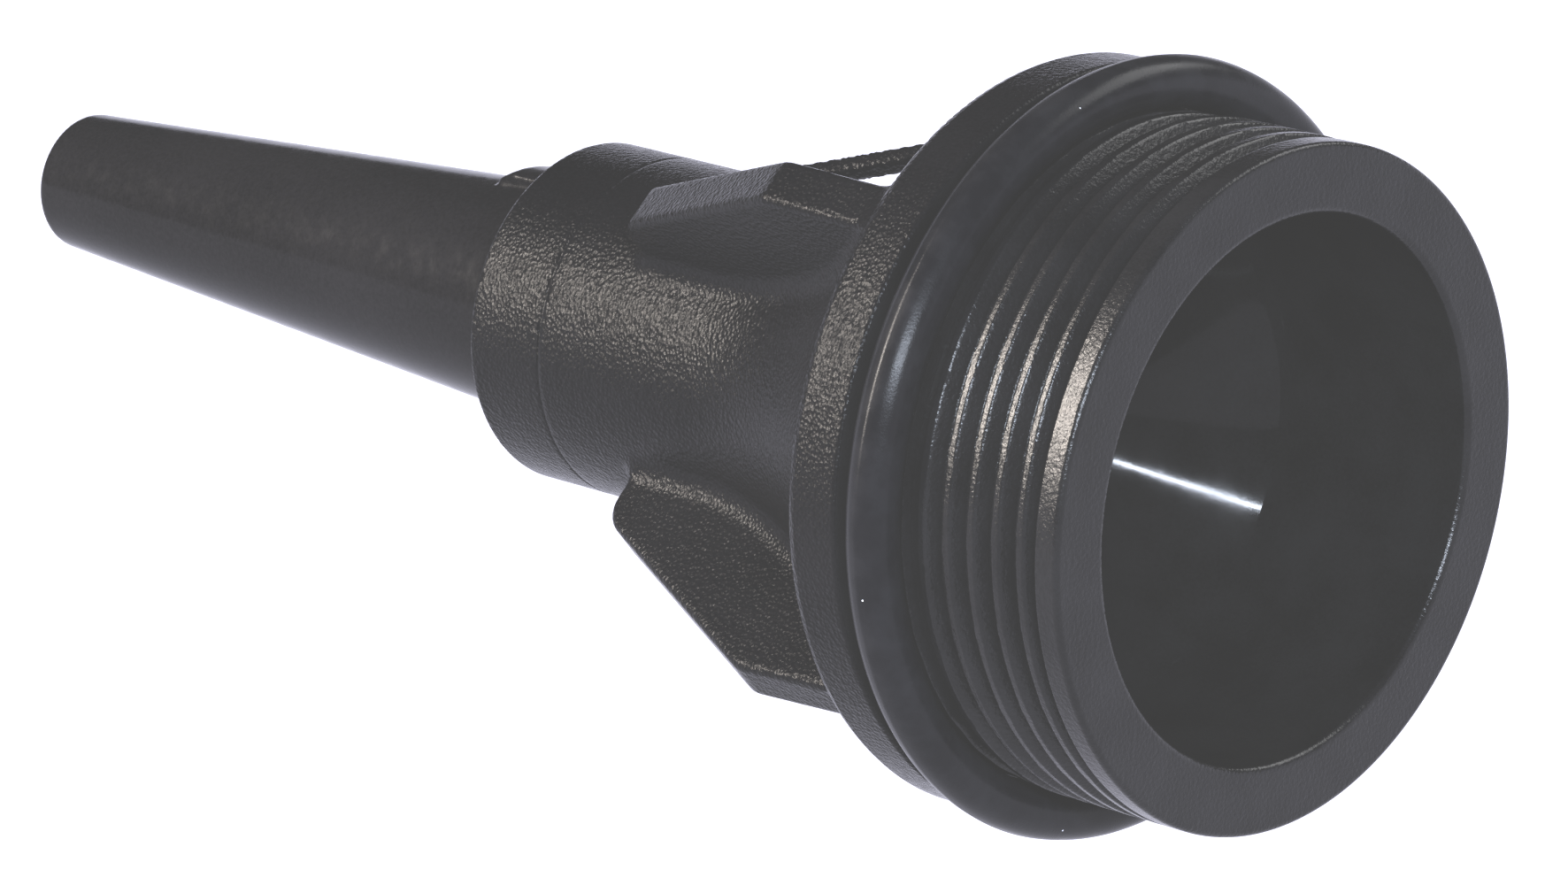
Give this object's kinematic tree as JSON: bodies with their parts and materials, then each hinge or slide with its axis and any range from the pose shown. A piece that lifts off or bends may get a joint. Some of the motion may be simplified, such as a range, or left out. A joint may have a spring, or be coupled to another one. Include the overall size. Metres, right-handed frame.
{
  "type": "pneumatic muffler",
  "caption": "Exhaust muffler with a male port thread, seal ring and flange, a hand grip of four wings, and a tapered plug-in nozzle that holds the silencing insert.",
  "frame": {"origin": "centre of the mouth face, where the port thread starts", "axes": "+X along the muffler's axis, out of the mouth; the nozzle points to -X; +Z through one of the nozzle's two locating lugs, midway between two wings"},
  "size_m": [0.1212, 0.0552, 0.0553],
  "materials": {
    "body_plastic": "fine spark-eroded grain, glass-filled nylon",
    "nozzle_plastic": "fine grain, glass-filled nylon",
    "seal_rubber": "smooth moulded nitrile rubber",
    "perforated_steel": "satin",
    "spring_steel": "satin",
    "felt": "needled polyester felt",
    "insert_plastic": "fine grain"
  },
  "bodies": {
    "body": {"housing": "body_plastic", "port_seal": "seal_rubber", "end_ring": "body_plastic", "nozzle_seal": "seal_rubber"},
    "nozzle_unit": {"nozzle": "nozzle_plastic", "core_tube": "perforated_steel", "absorber": "felt", "absorber_retainer": "insert_plastic", "snap_ring": "spring_steel"},
    "screen_unit": {"screen_carrier": "insert_plastic", "inlet_screen": "perforated_steel", "screen_seal": "seal_rubber"}
  },
  "joints": [
    {"name": "nozzle_pull", "type": "slide", "parent": "body", "child": "nozzle_unit", "axis": [-1, 0, 0], "range_m": [0, 0.02]},
    {"name": "screen_pull", "type": "slide", "parent": "body", "child": "screen_unit", "axis": [1, 0, 0], "range_m": [0, 0.052]}
  ]
}
